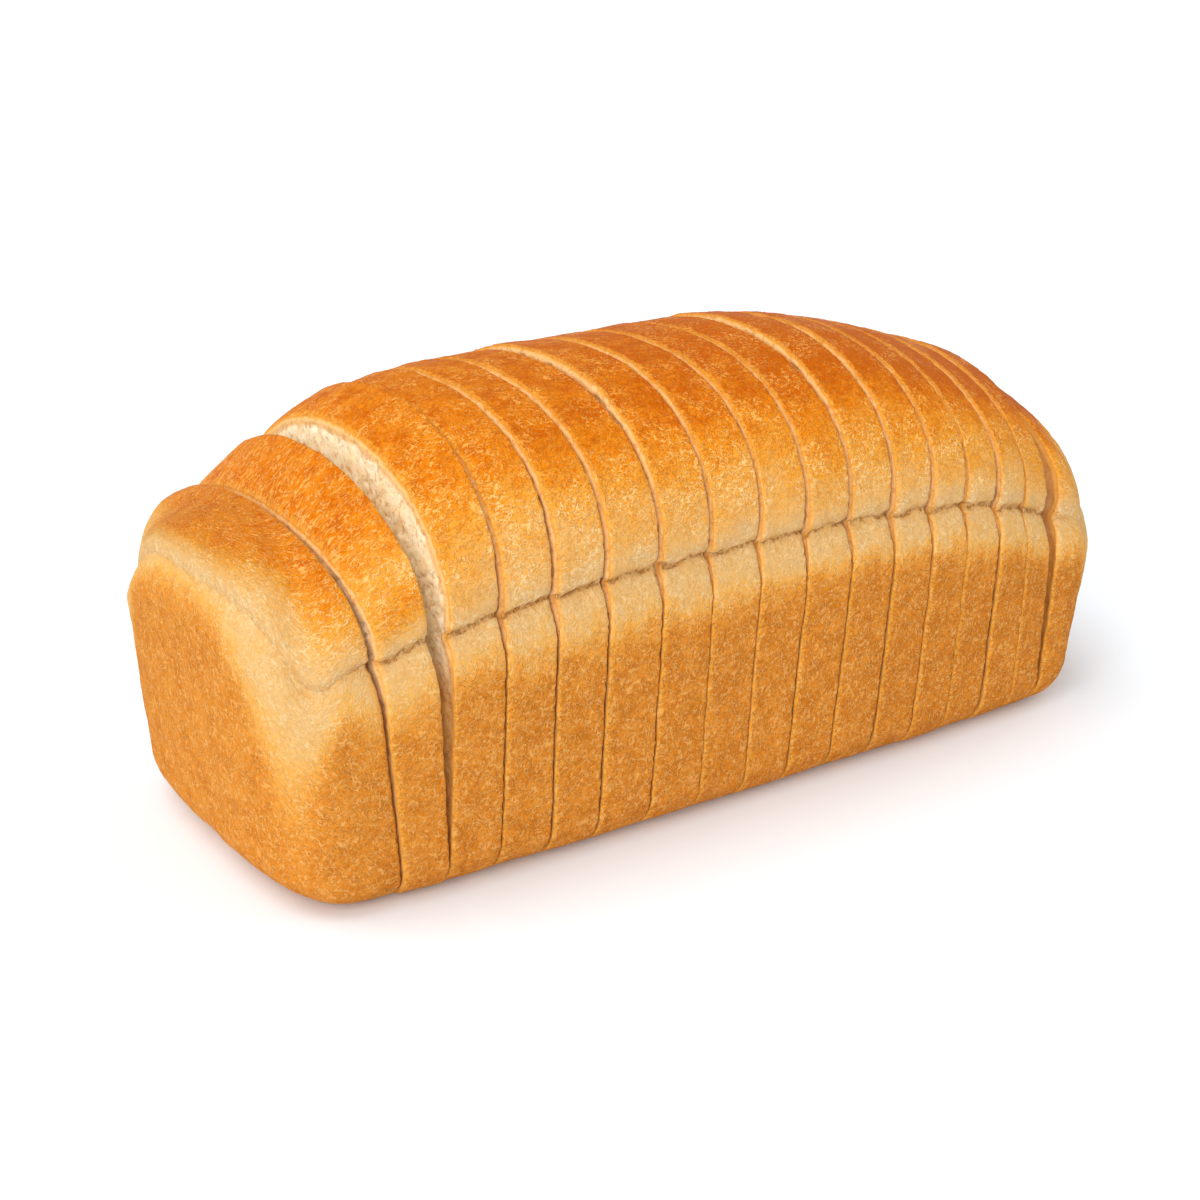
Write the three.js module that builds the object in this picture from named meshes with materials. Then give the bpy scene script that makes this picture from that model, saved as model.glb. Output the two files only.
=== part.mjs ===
// A sliced tin loaf: white bread baked in an open tin, its crown risen over the rim and folded
// outwards along a crease, then cut crosswise into slices that still stand together as the loaf.
// Units are millimetres. +X runs along the loaf, -Y is the long side at the front, +Z is up.
// The origin is the middle of the loaf's base, on the table it stands on.
import * as THREE from 'three';

// The uncut loaf ---------------------------------------------------------------------------
const BELLY_X = -8; // station where the loaf is widest and its crease highest
const SWELL_SPAN = 126; // distance from the belly over which the loaf tapers to its ends

const FLOOR_HALF_WIDTH = 50.5; // base, as if its long edges were sharp
const RIM_HALF_WIDTH = 57.6; // tin wall carried up to the height of the crease
const CREASE_HALF_WIDTH = 54; // bottom of the crease groove
const CROWN_HALF_WIDTH = 55.3; // crown where it bulges out just above the crease
const FLOOR_TAPER = 4; // half-width lost at the base at one span from the belly
const RIM_TAPER = 15; // half-width lost at the crease and the crown at one span

const CREASE_HEIGHT = 71.8;
const CREASE_SAG = 4.6; // second-order drop of the crease towards the ends
const CREASE_DIP = 22.7; // fourth-order drop of the crease towards the ends
const CORNER_RADIUS = 10; // long bottom edges of the loaf
const FOLD_HEIGHT = 12; // height below the crease over which the wall rolls in
const LIP_HEIGHT = 4.5; // height above the crease over which the crown rolls out
const WALL_POWER = 0.8; // the tin wall leans out a little faster near the base

const CROWN_HEIGHT = 112.5; // top of the loaf at its flat middle
const NEAR_SHOULDER_X = -32; // the crown starts to fall towards the near end here
const NEAR_SHOULDER_LENGTH = 98;
const NEAR_SHOULDER_DROP = 105;
const NEAR_SHOULDER_POWER = 4.2;
const FAR_SHOULDER_X = 8; // and towards the far end here
const FAR_SHOULDER_LENGTH = 125;
const FAR_SHOULDER_DROP = 38;
const FAR_SHOULDER_POWER = 2;
const CROWN_ROUNDNESS = 2.1; // superellipse power of the crown's cross-section at the belly
const CROWN_PINCH = 0.4; // the power lost at one span, where the crown is more pointed
const CROWN_SHIFT = -5; // the top of the crown sits this far towards the front
const UNEVENNESS = 0.5; // height of the slow waves in the baked surface
const WAVE = { along: 13, up: 21, across: 19, twist: 31, start: 1 }; // their lengths, over 2 pi

// The two heels ----------------------------------------------------------------------------
const HEEL_ROUNDNESS = 3.6; // superellipse power of the tin's rounded ends, seen from above
const CROWN_END_ROUNDNESS = 1.85; // the same at the top of the crown
const END_FLATNESS = 4; // how far across the end face keeps the heights of its middle
const CREASE_REACH = 3; // how fast the wall below stops following the crease, as a power

// The cuts: one row for each piece, from the near end to the far end. Thickness and the gap
// that follows are measured on the base. The lean of the near and the far face is how far it
// runs along the loaf for each millimetre of height; slide is the piece's shift across the
// loaf, and lift is how much higher than the uncut loaf its crown stands.
const PIECES = [
  { name: 'heel_near', thickness: 22, gap: 0.8, leans: [-0.11, -0.11], slide: 0.5, lift: -1.8 },
  { name: 'slice_02', thickness: 10.4, gap: 0.7, leans: [-0.1, -0.07], slide: -0.6, lift: -2.2 },
  { name: 'slice_03', thickness: 12.4, gap: 1.3, leans: [0, 0], slide: 0, lift: 0.3 },
  { name: 'slice_04', thickness: 12.3, gap: 1.3, leans: [0, 0], slide: 0.2, lift: -1.9 },
  { name: 'slice_05', thickness: 12.3, gap: 1.3, leans: [0, 0], slide: 0, lift: -2.1 },
  { name: 'slice_06', thickness: 13.6, gap: 1.3, leans: [0, 0], slide: -0.2, lift: -2.2 },
  { name: 'slice_07', thickness: 13.6, gap: 1.1, leans: [0, 0], slide: 0, lift: -0.9 },
  { name: 'slice_08', thickness: 13.4, gap: 0.7, leans: [0, 0], slide: 0.2, lift: -0.6 },
  { name: 'slice_09', thickness: 12.8, gap: 1.3, leans: [0, 0], slide: 0, lift: -0.4 },
  { name: 'slice_10', thickness: 12.6, gap: 1.4, leans: [0, 0], slide: -0.2, lift: -0.8 },
  { name: 'slice_11', thickness: 12.9, gap: 1.5, leans: [0, 0], slide: 0, lift: 0.2 },
  { name: 'slice_12', thickness: 12.2, gap: 0.9, leans: [0, 0], slide: 0.1, lift: 0.3 },
  { name: 'slice_13', thickness: 11.3, gap: 1.4, leans: [0, 0], slide: -0.2, lift: 0.2 },
  { name: 'slice_14', thickness: 11.4, gap: 1.5, leans: [0, 0], slide: 0.2, lift: 0 },
  { name: 'slice_15', thickness: 11, gap: 0.5, leans: [0, 0], slide: -0.2, lift: 0 },
  { name: 'slice_16', thickness: 9.8, gap: 1.3, leans: [0, 0.01], slide: 0, lift: 0.6 },
  { name: 'heel_far', thickness: 24, gap: 0, leans: [0.07, 0.07], slide: 0, lift: -6.5 },
];

// How finely the surface is divided
const CORNER_STEPS = 4;
const WALL_STEPS = 6;
const FOLD_STEPS = 4;
const LIP_STEPS = 2;
const CROWN_STEPS = 16;
const HEEL_STEPS = 24;

const CRUST = new THREE.MeshStandardMaterial({ color: 0xc98a45, roughness: 0.62, metalness: 0 });

// Falls away from the belly as an even power of the distance along the loaf.
function fall(x, power) {
  return Math.abs((x - BELLY_X) / SWELL_SPAN) ** power;
}

function creaseHeight(x) {
  return CREASE_HEIGHT - CREASE_SAG * fall(x, 2) - CREASE_DIP * fall(x, 4);
}

function crownHeight(x) {
  const near = Math.max(0, (NEAR_SHOULDER_X - x) / NEAR_SHOULDER_LENGTH);
  const far = Math.max(0, (x - FAR_SHOULDER_X) / FAR_SHOULDER_LENGTH);
  return CROWN_HEIGHT
    - NEAR_SHOULDER_DROP * near ** NEAR_SHOULDER_POWER
    - FAR_SHOULDER_DROP * far ** FAR_SHOULDER_POWER;
}

// Half of a closed profile, from the middle of the base out, up the tin wall, in at the
// crease and over the crown to the top. Each point is [distance from the middle, height].
function halfProfile(reach, corner, creaseZ, topZ, roundness) {
  const wall = (z) => reach.floor + (reach.rim - reach.floor) * (z / creaseZ) ** WALL_POWER;
  const points = [[0, 0]];
  for (let i = 0; i <= CORNER_STEPS; i += 1) {
    const angle = (Math.PI / 2) * (i / CORNER_STEPS);
    const z = corner * (1 - Math.cos(angle));
    points.push([wall(z) - corner * (1 - Math.sin(angle)), z]);
  }
  const foldStart = creaseZ - FOLD_HEIGHT;
  for (let i = 1; i <= WALL_STEPS; i += 1) {
    const z = corner + (foldStart - corner) * (i / WALL_STEPS);
    points.push([wall(z), z]);
  }
  for (let i = 1; i <= FOLD_STEPS; i += 1) {
    const t = i / FOLD_STEPS;
    const z = foldStart + FOLD_HEIGHT * t;
    points.push([wall(z) - (reach.rim - reach.crease) * t ** 2, z]);
  }
  for (let i = 1; i <= LIP_STEPS; i += 1) {
    const t = 1 - i / LIP_STEPS;
    points.push([reach.crown - (reach.crown - reach.crease) * t ** 2, creaseZ + LIP_HEIGHT * (1 - t)]);
  }
  const bulgeZ = creaseZ + LIP_HEIGHT;
  for (let i = 1; i < CROWN_STEPS; i += 1) {
    const angle = (Math.PI / 2) * (i / CROWN_STEPS);
    points.push([
      reach.crown * Math.cos(angle) ** (2 / roundness),
      bulgeZ + (topZ - bulgeZ) * Math.sin(angle) ** (2 / roundness),
    ]);
  }
  points.push([0, topZ]);
  return points;
}

// The half cross-section of the loaf at station x.
function crossSection(x, lift) {
  const slim = fall(x, 4);
  const reach = {
    floor: FLOOR_HALF_WIDTH - FLOOR_TAPER * slim,
    rim: RIM_HALF_WIDTH - RIM_TAPER * slim,
    crease: CREASE_HALF_WIDTH - RIM_TAPER * slim,
    crown: CROWN_HALF_WIDTH - RIM_TAPER * slim,
  };
  const roundness = CROWN_ROUNDNESS - CROWN_PINCH * slim;
  return halfProfile(reach, CORNER_RADIUS, creaseHeight(x), crownHeight(x) + lift, roundness);
}

// Takes a point of the upright loaf to where the piece holds it: the crown leans to the
// front, the surface is a little uneven, and the piece itself leans and has slid.
function settle(piece, lean, x, y, z) {
  const rise = Math.max(0, (z - CREASE_HEIGHT) / (CROWN_HEIGHT - CREASE_HEIGHT));
  const grounded = Math.min(1, z / CORNER_RADIUS);
  const wave = UNEVENNESS * grounded
    * Math.sin(x / WAVE.along + z / WAVE.up)
    * Math.sin(y / WAVE.across + x / WAVE.twist + WAVE.start);
  const width = y * (1 + wave / CROWN_HALF_WIDTH);
  const height = z * (1 + wave / CROWN_HEIGHT);
  return new THREE.Vector3(
    x + lean * height,
    width + CROWN_SHIFT * rise ** 2 + piece.slide,
    height,
  );
}

// The whole outline of a section, front side up and back side down, without repeats.
function closedOutline(piece, lean, x) {
  const section = crossSection(x, piece.lift);
  const front = section.map(([r, z]) => settle(piece, lean, x, -r, z));
  const back = section.slice(1, -1).reverse().map(([r, z]) => settle(piece, lean, x, r, z));
  return [...front, ...back];
}

// Fills a flat cut face. Facing +X when towardsFar is true.
function fillCut(outline, firstIndex, towardsFar) {
  const flat = outline.map((p) => new THREE.Vector2(p.y, p.z));
  const faces = THREE.ShapeUtils.triangulateShape(flat, []);
  return faces.flatMap(([a, b, c]) => {
    const turn = (flat[b].x - flat[a].x) * (flat[c].y - flat[a].y)
      - (flat[c].x - flat[a].x) * (flat[b].y - flat[a].y);
    const ordered = (turn > 0) === towardsFar ? [a, b, c] : [a, c, b];
    return ordered.map((i) => i + firstIndex);
  });
}

function meshFrom(name, points, indices) {
  const geometry = new THREE.BufferGeometry().setFromPoints(points);
  geometry.setIndex(indices);
  geometry.computeVertexNormals();
  const mesh = new THREE.Mesh(geometry, CRUST);
  mesh.name = name;
  return mesh;
}

// A slice: the crust between two cuts, and the two cut faces.
function slice(piece, nearX, farX) {
  const [nearLean, farLean] = piece.leans;
  const near = closedOutline(piece, nearLean, nearX);
  const far = closedOutline(piece, farLean, farX);
  const count = near.length;
  const indices = [];
  for (let i = 0; i < count; i += 1) {
    const next = (i + 1) % count;
    indices.push(i, i + count, next, next, i + count, next + count);
  }
  indices.push(...fillCut(near, 0, false), ...fillCut(far, count, true));
  return meshFrom(piece.name, [...near, ...far], indices);
}

// A heel: each level of the cut section is carried round the end of the loaf in a
// superellipse, through the matching level of the end's own profile, and back to the cut.
function heel(piece, cutX, direction, end) {
  const section = crossSection(cutX, piece.lift);
  const cutTopZ = crownHeight(cutX) + piece.lift;
  const profile = halfProfile(end.reach, end.corner, end.creaseZ, cutTopZ, end.roundness);
  const lean = piece.leans[0];
  const points = [settle(piece, lean, cutX, 0, 0)];
  const crownBase = creaseHeight(cutX) + LIP_HEIGHT;
  for (let level = 1; level < section.length - 1; level += 1) {
    const [halfWidth, sideZ] = section[level];
    const [length, endZ] = profile[level];
    const climb = Math.max(0, (sideZ - crownBase) / (cutTopZ - crownBase));
    const roundness = THREE.MathUtils.lerp(HEEL_ROUNDNESS, CROWN_END_ROUNDNESS, Math.sqrt(climb));
    const below = Math.min(1, sideZ / creaseHeight(cutX)) ** CREASE_REACH;
    const creaseShare = climb > 0 ? 1 - climb : below;
    for (let step = 0; step <= HEEL_STEPS; step += 1) {
      const angle = Math.PI * (step / HEEL_STEPS - 0.5);
      const across = Math.sign(angle) * Math.abs(Math.sin(angle)) ** (2 / roundness);
      const along = Math.max(0, Math.cos(angle)) ** (2 / roundness);
      let creaseShift = 0;
      for (const { at, spread, depth } of end.cornerDips) {
        creaseShift -= depth * Math.exp(-(((angle - at) / spread) ** 2));
      }
      const z = THREE.MathUtils.lerp(endZ, sideZ, across ** END_FLATNESS) + creaseShare * creaseShift;
      points.push(settle(piece, lean, cutX + direction * length * along, halfWidth * across, z));
    }
  }
  points.push(settle(piece, lean, cutX, 0, cutTopZ));

  const row = HEEL_STEPS + 1;
  const levels = section.length - 2;
  const corner = (level, step) => 1 + level * row + step;
  const top = points.length - 1;
  const indices = [];
  const face = (a, b, c) => indices.push(...(direction < 0 ? [a, c, b] : [a, b, c]));
  for (let step = 0; step < HEEL_STEPS; step += 1) {
    face(0, corner(0, step + 1), corner(0, step));
    face(top, corner(levels - 1, step), corner(levels - 1, step + 1));
    for (let level = 0; level < levels - 1; level += 1) {
      face(corner(level, step), corner(level, step + 1), corner(level + 1, step));
      face(corner(level + 1, step), corner(level, step + 1), corner(level + 1, step + 1));
    }
  }
  const rim = [0];
  for (let level = 0; level < levels; level += 1) rim.push(corner(level, 0));
  rim.push(top);
  for (let level = levels - 1; level >= 0; level -= 1) rim.push(corner(level, HEEL_STEPS));
  const cut = fillCut(rim.map((i) => points[i]), 0, direction < 0);
  indices.push(...cut.map((i) => rim[i]));
  return meshFrom(piece.name, points, indices);
}

// How far each heel reaches from its cut along the middle line, at the same four stages as the
// cross-section; the radius of its bottom edge; the height of the crease in the middle of its
// end; and where the crease dips as it turns the corners, in radians from the middle of the end.
const NEAR_END = {
  reach: { floor: 28, rim: 24, crease: 20.5, crown: 20 },
  corner: 14,
  creaseZ: 75.5,
  cornerDips: [{ at: -1.08, spread: 0.3, depth: 8 }, { at: 0.7, spread: 0.46, depth: 12 }],
  roundness: 2.2,
};
const FAR_END = {
  reach: { floor: 16, rim: 24.5, crease: 20.5, crown: 19.5 },
  corner: 15,
  creaseZ: 62,
  cornerDips: [{ at: -1, spread: 0.4, depth: 7 }, { at: 1, spread: 0.4, depth: 7 }],
  roundness: 1.6,
};

const loaf = new THREE.Group();
const totalLength = PIECES.reduce((sum, piece) => sum + piece.thickness + piece.gap, 0);
let x = -totalLength / 2;
for (const piece of PIECES) {
  const farX = x + piece.thickness;
  if (piece.name === 'heel_near') loaf.add(heel(piece, farX, -1, NEAR_END));
  else if (piece.name === 'heel_far') loaf.add(heel(piece, x, 1, FAR_END));
  else loaf.add(slice(piece, x, farX));
  x = farX + piece.gap;
}

// Centres the loaf over the origin.
const middle = new THREE.Box3().setFromObject(loaf).getCenter(new THREE.Vector3());
for (const mesh of loaf.children) mesh.geometry.translate(-middle.x, -middle.y, 0);

export default loaf;
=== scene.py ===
"""A sliced tin loaf: white bread baked in an open tin, with its crown risen over the rim and
folded outwards along a crease, standing together as it was cut.

Every slice and heel is built afresh over its plain solid: the crust as a fine grid with blisters,
wrinkles and a ragged crease, and the cut faces as rings of crumb inside it. Sizes are in
millimetres until a mesh is made. +X runs along the loaf, -Y is the long side at the front.
"""

import math
from functools import partial

import bpy
import numpy as np
from mathutils import Matrix, Vector


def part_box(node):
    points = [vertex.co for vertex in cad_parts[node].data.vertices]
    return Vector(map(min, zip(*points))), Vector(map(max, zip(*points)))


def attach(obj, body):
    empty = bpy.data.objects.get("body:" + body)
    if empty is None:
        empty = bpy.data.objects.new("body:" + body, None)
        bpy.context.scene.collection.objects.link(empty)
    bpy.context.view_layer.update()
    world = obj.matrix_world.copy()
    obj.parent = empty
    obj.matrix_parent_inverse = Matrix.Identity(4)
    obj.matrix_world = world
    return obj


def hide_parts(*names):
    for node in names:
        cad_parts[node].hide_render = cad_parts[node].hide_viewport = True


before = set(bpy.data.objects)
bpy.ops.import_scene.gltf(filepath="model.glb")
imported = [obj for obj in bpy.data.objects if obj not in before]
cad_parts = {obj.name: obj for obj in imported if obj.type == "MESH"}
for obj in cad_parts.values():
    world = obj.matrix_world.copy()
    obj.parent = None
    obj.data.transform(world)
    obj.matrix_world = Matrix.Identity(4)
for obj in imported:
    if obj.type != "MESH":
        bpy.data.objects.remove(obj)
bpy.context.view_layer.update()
MM = 0.001

# The uncut loaf -----------------------
BELLY_X = -8.0  # station where the loaf is widest and its crease highest
SWELL_SPAN = 126.0  # distance from the belly over which the loaf tapers to its ends
FLOOR_HALF_WIDTH = 50.5
RIM_HALF_WIDTH = 57.6
CREASE_HALF_WIDTH = 54.0
CROWN_HALF_WIDTH = 55.3
FLOOR_TAPER = 4.0  # how much each half width loses at the ends, at the floor and above it
RIM_TAPER = 15.0
CREASE_HEIGHT = 71.8
CREASE_SAG = 4.6  # how far the crease falls evenly towards the ends, and steeply near them
CREASE_DIP = 22.7
CORNER_RADIUS = 10.0
FOLD_HEIGHT = 12.0  # the wall draws in over this height below the crease
LIP_HEIGHT = 4.5  # and the crown folds out over this height above it
WALL_POWER = 0.8  # below 1 the tin's wall bulges, at 1 it's straight
CROWN_HEIGHT = 112.5
NEAR_SHOULDER = {"x": -32.0, "length": 98.0, "drop": 105.0, "power": 4.2}
FAR_SHOULDER = {"x": 8.0, "length": 125.0, "drop": 38.0, "power": 2.0}
CROWN_ROUNDNESS = 2.1  # 2 is an ellipse, and more is squarer
CROWN_PINCH = 0.4  # how much less square it is at the ends
CROWN_SHIFT = -5.0  # how far the top leans out over the front
UNEVENNESS = 0.5  # height of the slow waves all over the loaf
WAVE = {"along": 13.0, "up": 21.0, "across": 19.0, "twist": 31.0, "start": 1.0}

# The two heels ------------------------
HEEL_ROUNDNESS = 3.6  # seen from above, at the tin's wall and at the very top
CROWN_END_ROUNDNESS = 1.85
END_FLATNESS = 4  # how flat the end stays before it takes the height of its sides
CREASE_REACH = 3  # how fast a dip of the crease fades out below it
HEEL_CROWDING = 0.0045  # how much closer the points of a heel stand by its cut
END_SMOOTHINGS = 24  # how often the fold is smoothed round a heel's end, where it dies away
CORNER_ANGLE = 0.85  # where round the end a corner is roundest, and how wide it spreads
CORNER_SPREAD = 0.4
HEEL_ASIDE = 300.0  # keeps the pattern of a heel's crust off that of the slices
FAR_HEEL_PAINTED_SHADE = 0.8  # painted shade on the far heel's cut face, which lies in the dark gap behind slice_16
# reach is how far the end stands out from its cut; a dip of the crease has its angle from the
# loaf's line in radians, spread and depth
NEAR_END = {
    "reach": {"floor": 28.0, "rim": 24.0, "crease": 20.5, "crown": 20.0},
    "corner": 14.0,
    "crease_z": 75.5,
    "dips": [(-1.08, 0.3, 8.0), (0.7, 0.46, 12.0)],
    "roundness": 2.2,
    "crease_depth": 1.0,
    "crown_bake": 0.86,
    "even_bake": 0.8,
}
FAR_END = {
    "reach": {"floor": 16.0, "rim": 24.5, "crease": 20.5, "crown": 19.5},
    "corner": 15.0,
    "crease_z": 62.0,
    "dips": [(-1.0, 0.4, 7.0), (1.0, 0.4, 7.0)],
    "roundness": 1.6,
    "crease_depth": 0.5,
    "crown_bake": 0.8,
    "even_bake": 0.0,
}

# The cuts: name, thickness, gap after it, lean of the near and far face, slide, lift
PIECES = [
    ("heel_near", 22.0, 0.8, (-0.11, -0.11), 0.5, -1.3),
    ("slice_02", 10.4, 0.7, (-0.1, -0.07), -0.6, -2.9),
    ("slice_03", 12.4, 1.3, (0.0, 0.0), 0.0, 0.3),
    ("slice_04", 12.3, 1.3, (0.0, 0.0), 0.2, -1.9),
    ("slice_05", 12.3, 1.3, (0.0, 0.0), 0.0, -2.1),
    ("slice_06", 13.6, 1.3, (0.0, 0.0), -0.2, -2.2),
    ("slice_07", 13.6, 1.1, (0.0, 0.0), 0.0, -0.9),
    ("slice_08", 13.4, 0.7, (0.0, 0.0), 0.2, -0.6),
    ("slice_09", 12.8, 1.3, (0.0, 0.0), 0.0, -0.4),
    ("slice_10", 12.6, 1.4, (0.0, 0.0), -0.2, -0.8),
    ("slice_11", 12.9, 1.5, (0.0, 0.0), 0.0, 0.2),
    ("slice_12", 12.2, 0.9, (0.0, 0.0), 0.1, 0.3),
    ("slice_13", 11.3, 1.4, (0.0, 0.0), -0.2, 0.2),
    ("slice_14", 11.4, 1.5, (0.0, 0.0), 0.2, 0.0),
    ("slice_15", 11.0, 0.5, (0.0, 0.0), -0.2, 0.0),
    ("slice_16", 9.8, 1.3, (0.0, 0.01), 0.0, 0.6),
    ("heel_far", 24.0, 0.0, (0.07, 0.07), 0.0, -6.5),
]

# How finely each kind of piece is divided 
SLICE_STAGES = 313  # points up half a section; twice that less two divides by sixteen
NEAR_HEEL_STAGES = 233
FAR_HEEL_STAGES = 161
NEAR_HEEL_STEPS = 200
FAR_HEEL_STEPS = 130
SKIN_STEP = 0.68  # spacing of the crust's points along a slice
EDGE_STEPS = (0.12, 0.3, 0.6, 1.05)  # and how far the first few stand from a cut
SHOWN_CRUMB = {"slice_03": 14.0}  # a cut face that shows deeper than its rim
RIM_DEPTHS = (0.22, 0.5, 0.85, 1.25, 1.7, 2.4)  # how deep the rings of a cut face lie
RING_STEP = 0.75  # and how far apart where it shows deeper
INNER_RINGS = ((0.12, 2), (0.24, 4), (0.45, 8), (0.72, 16))  # share of the way in, thinning
FACE_CENTRE = (0.0, 52.0)  # where across and up the rings close

# A half section's stages: base, bottom corner, tin wall, fold, lip and crown
CREASE_STAGE, CROWN_STAGE, TOP_STAGE = 4, 5, 6

# Camera -------------------------------
CAMERA_AT = (-299.4, -435.6, 245.9)
CAMERA_TILT = 68.63
CAMERA_TURN = -33.46
CAMERA_LENS = 64.0

# Light: strengths of white, and lamps as far off as the sun but as wide as a window
ROOM_GLOW = 0.44
FLOOR_GLOW = 0.05
FLOOR_HALF_SIZE = 6.0  # metres
LAMPS = [
    # name, the way its light comes from, its width in degrees, strength
    ("skylight", (-0.34, 0.16, 0.93), 45.0, 1.34),
    ("window at the left", (-0.78, -0.58, 0.5), 50.0, 1.88),
    ("window at the right", (0.75, -0.2, 0.6), 60.0, 0.52),
]


# Uneven numbers that are the same on every run 
def scatter(ix, iy, iz, seed):
    """A number from 0 to 1 for each whole point of a lattice."""
    mixed = ix * 73856093 ^ iy * 19349663 ^ iz * 83492791 ^ (seed * 2654435761)
    mixed = mixed & 0xFFFFFFFF
    mixed = (mixed ^ (mixed >> 13)) * 1540483477 & 0xFFFFFFFF
    mixed = (mixed ^ (mixed >> 15)) * 668265263 & 0xFFFFFFFF
    return (mixed ^ (mixed >> 16)) / 0xFFFFFFFF


def noise(points, size, seed, squeeze=1.0):
    """Smooth noise from -1 to 1 at points in millimetres, with bumps about size apart. A squeeze
    below 1 draws them out in height."""
    scaled = points * np.array([1, 1, squeeze]) / size
    cell = np.floor(scaled).astype(np.int64)
    part = scaled - cell
    part = part * part * part * (part * (part * 6 - 15) + 10)
    total = 0
    for corner in range(8):
        step = np.array([corner & 1, (corner >> 1) & 1, corner >> 2])
        weight = np.prod(np.where(step, part, 1 - part), axis=-1)
        total = total + weight * scatter(*np.moveaxis(cell + step, -1, 0), seed)
    return total * 2 - 1


def ease(value, low, high):
    """0 below low, 1 above high, with a smooth rise between."""
    t = np.clip((value - low) / (high - low), 0, 1)
    return t * t * (3 - 2 * t)


def hump(value, width):
    """1 where value is 0, dying away on both sides within about twice width."""
    return np.exp(-((value / width) ** 2))


# The form -----------------------------
def fall(x, power):
    """How much of the taper towards the ends has come at station x."""
    return np.abs((x - BELLY_X) / SWELL_SPAN) ** power


def crease_height(x):
    return CREASE_HEIGHT - CREASE_SAG * fall(x, 2) - CREASE_DIP * fall(x, 4)


def crown_height(x):
    near = np.maximum(0, (NEAR_SHOULDER["x"] - x) / NEAR_SHOULDER["length"])
    far = np.maximum(0, (x - FAR_SHOULDER["x"]) / FAR_SHOULDER["length"])
    near_drop = NEAR_SHOULDER["drop"] * near ** NEAR_SHOULDER["power"]
    far_drop = FAR_SHOULDER["drop"] * far ** FAR_SHOULDER["power"]
    return CROWN_HEIGHT - near_drop - far_drop


def half_profile(reach, corner, crease_z, top_z, roundness, stages):
    """Distance from the middle line and height, at each stage of half a section."""
    part = np.minimum(stages.astype(int), CROWN_STAGE)
    t = stages - part

    def wall(z):
        share = np.maximum(z, 0) / crease_z
        return reach["floor"] + (reach["rim"] - reach["floor"]) * share**WALL_POWER

    fold_z, bulge_z = crease_z - FOLD_HEIGHT, crease_z + LIP_HEIGHT
    crown, drawn_in = reach["crown"], reach["rim"] - reach["crease"]
    turn = t * math.pi / 2
    wall_z = corner + (fold_z - corner) * t
    folding_z = fold_z + FOLD_HEIGHT * t
    corner_z = corner * (1 - np.cos(turn))
    stretches = [
        (wall(0.0) * t - corner * t, 0.0 * t),
        (wall(corner_z) - corner * (1 - np.sin(turn)), corner_z),
        (wall(wall_z), wall_z),
        (wall(folding_z) - drawn_in * t**2, folding_z),
        (crown - (crown - reach["crease"]) * (1 - t) ** 2, crease_z + LIP_HEIGHT * t),
        (
            crown * np.maximum(0, np.cos(turn)) ** (2 / roundness),
            bulge_z + (top_z - bulge_z) * np.sin(turn) ** (2 / roundness),
        ),
    ]
    distance = sum(np.where(part == n, r, 0) for n, (r, _) in enumerate(stretches))
    height = sum(np.where(part == n, z, 0) for n, (_, z) in enumerate(stretches))
    return distance, height


def cross_section(x, lift, stages, crease_shift=0.0):
    """The same for the loaf's own section at station x."""
    slim = fall(x, 4)
    reach = {
        "floor": FLOOR_HALF_WIDTH - FLOOR_TAPER * slim,
        "rim": RIM_HALF_WIDTH - RIM_TAPER * slim,
        "crease": CREASE_HALF_WIDTH - RIM_TAPER * slim,
        "crown": CROWN_HALF_WIDTH - RIM_TAPER * slim,
    }
    roundness = CROWN_ROUNDNESS - CROWN_PINCH * slim
    crease_z, top_z = crease_height(x) + crease_shift, crown_height(x) + lift
    return half_profile(reach, CORNER_RADIUS, crease_z, top_z, roundness, stages)


def settle(slide, lean, x, y, z):
    """Where the standing piece holds a point of the even, upright loaf."""
    rise = np.maximum(0, (z - CREASE_HEIGHT) / (CROWN_HEIGHT - CREASE_HEIGHT))
    grounded = np.minimum(1, z / CORNER_RADIUS)
    wave = UNEVENNESS * grounded
    wave = wave * np.sin(x / WAVE["along"] + z / WAVE["up"])
    wave = wave * np.sin(y / WAVE["across"] + x / WAVE["twist"] + WAVE["start"])
    height = z * (1 + wave / CROWN_HEIGHT)
    across = y * (1 + wave / CROWN_HALF_WIDTH) + CROWN_SHIFT * rise**2 + slide
    return np.stack([x + lean * height, across, height], axis=-1)


def stage_list(count):
    """Stages of half a section, evenly spaced over the crust but closer by the crease, and how
    far each lies above the crease, measured over the crust in millimetres."""
    fine = np.linspace(0, TOP_STAGE, 24001)
    r, z = cross_section(BELLY_X, 0.0, fine)
    walked = np.concatenate([[0], np.cumsum(np.hypot(np.diff(r), np.diff(z)))])
    above = walked - np.interp(CREASE_STAGE, fine, walked)
    spacing = 0.28 + 0.42 * ease(np.abs(above), 1.0, 5.0)
    spacing = np.where(fine < 1, 2.4, spacing)
    effort = np.concatenate([[0], np.cumsum(np.diff(walked) / spacing[1:])])
    stages = np.interp(np.linspace(0, effort[-1], count), effort, fine)
    stages[0], stages[-1] = 0, TOP_STAGE
    return stages, np.interp(stages, fine, above)


def station_list(length):
    """Distances from the near cut to the far one, closer beside the cuts."""
    inner = length - 2 * EDGE_STEPS[-1]
    middle = np.linspace(0, inner, max(2, round(inner / SKIN_STEP) + 1)) + EDGE_STEPS[-1]
    near = np.array((0,) + EDGE_STEPS[:-1])
    return np.concatenate([near, middle, length - near[::-1]])


def closed_loop(front, back):
    """Joins the front and back halves of a section into one ring without repeats."""
    return np.concatenate([front, back[..., -2:0:-1, :]], axis=-2)


def closed_row(values):
    """Carries what is known up one half of a section down the other."""
    return np.concatenate([values, values[..., -2:0:-1]], axis=-1)


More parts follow.
